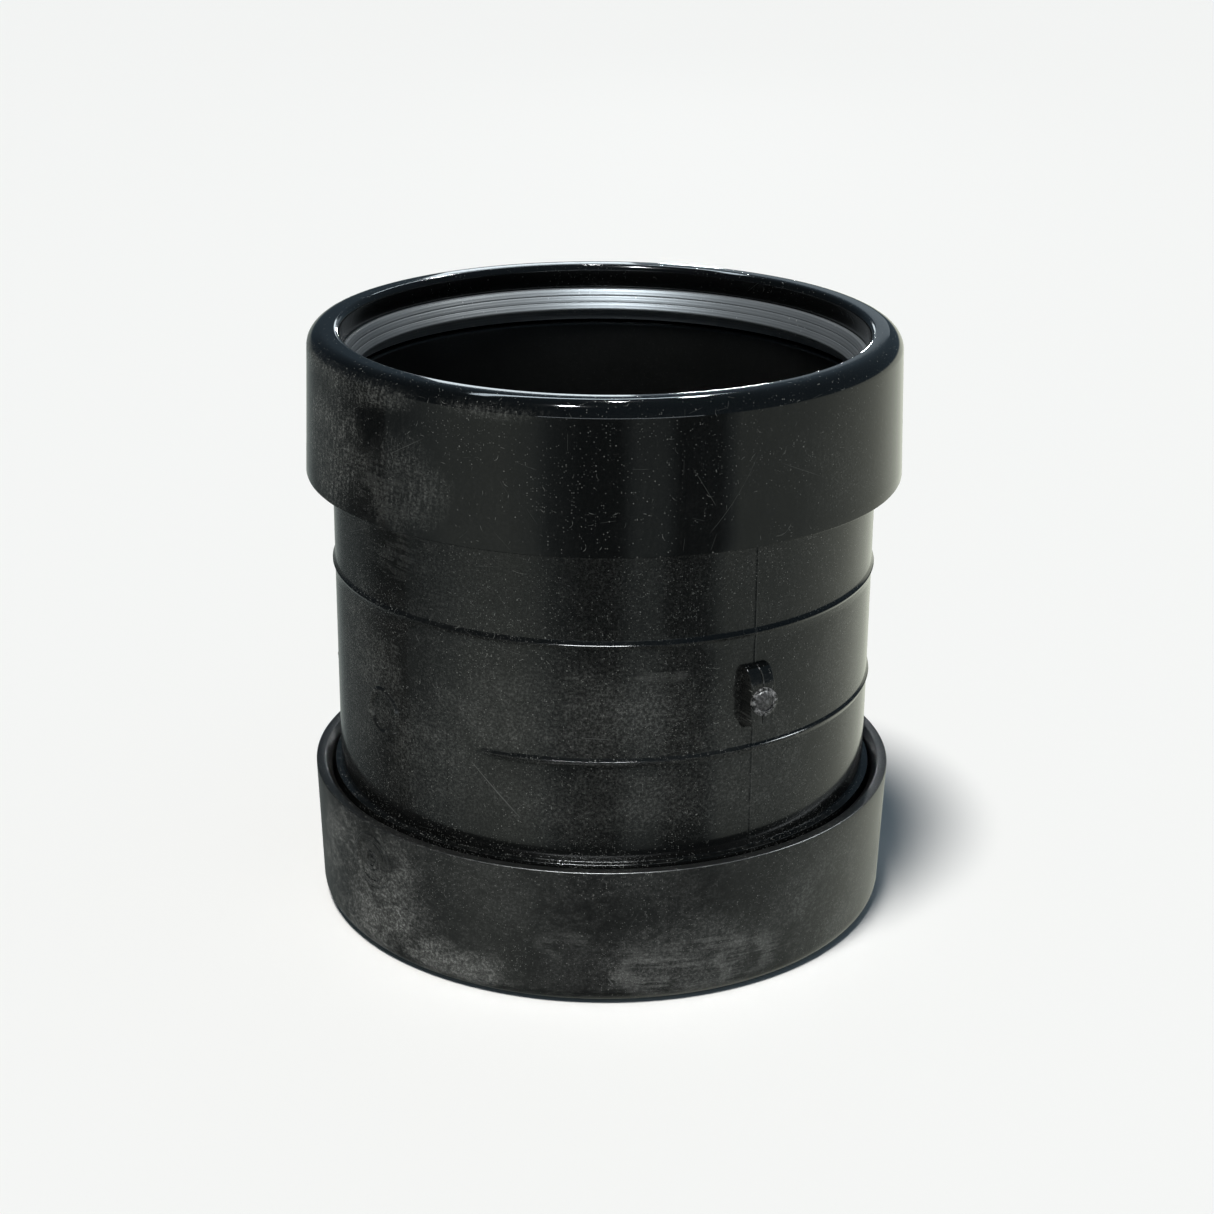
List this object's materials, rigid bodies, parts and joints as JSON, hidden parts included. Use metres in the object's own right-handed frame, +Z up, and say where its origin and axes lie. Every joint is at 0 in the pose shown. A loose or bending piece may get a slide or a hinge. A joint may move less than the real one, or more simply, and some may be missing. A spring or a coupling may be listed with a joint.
{
  "type": "pipe coupling",
  "caption": "Push-fit double-socket coupling for 110 mm soil pipe: ribbed barrel with a gate lug, a rubber lip seal in each end and push-on retaining caps.",
  "frame": {"origin": "middle of the face that the coupling stands on, which is the lower cap's end face, on the bore's axis", "axes": "+Z up along the bore; the gate lug is on the barrel's side at 58.5 degrees from +X towards -Y; -Y is the side seen first"},
  "size_m": [0.1286, 0.1286, 0.129],
  "materials": {
    "barrel_plastic": "satin black uPVC with fine scratches and dust",
    "upper_cap_plastic": "glossy black uPVC, scuffed and dusty on its rounded edge",
    "lower_cap_plastic": "dull black uPVC with a film of dust and scuffs",
    "seal_rubber": "satin grey rubber"
  },
  "bodies": {
    "barrel": {"barrel": "barrel_plastic"},
    "upper_seal": {"upper_seal": "seal_rubber"},
    "upper_cap": {"upper_cap": "upper_cap_plastic"},
    "lower_seal": {"lower_seal": "seal_rubber"},
    "lower_cap": {"lower_cap": "lower_cap_plastic"}
  },
  "joints": [
    {"name": "upper_cap_turn", "type": "hinge", "parent": "barrel", "child": "upper_seal", "pos_m": [0, 0, 0.1235], "axis": [0, 0, 1], "continuous": true},
    {"name": "upper_cap_lift", "type": "slide", "parent": "upper_seal", "child": "upper_cap", "axis": [0, 0, 1], "range_m": [0, 0.034]},
    {"name": "lower_cap_turn", "type": "hinge", "parent": "barrel", "child": "lower_seal", "pos_m": [0, 0, 0.0055], "axis": [0, 0, -1], "continuous": true},
    {"name": "lower_cap_lift", "type": "slide", "parent": "lower_seal", "child": "lower_cap", "axis": [0, 0, -1], "range_m": [0, 0.034]}
  ]
}
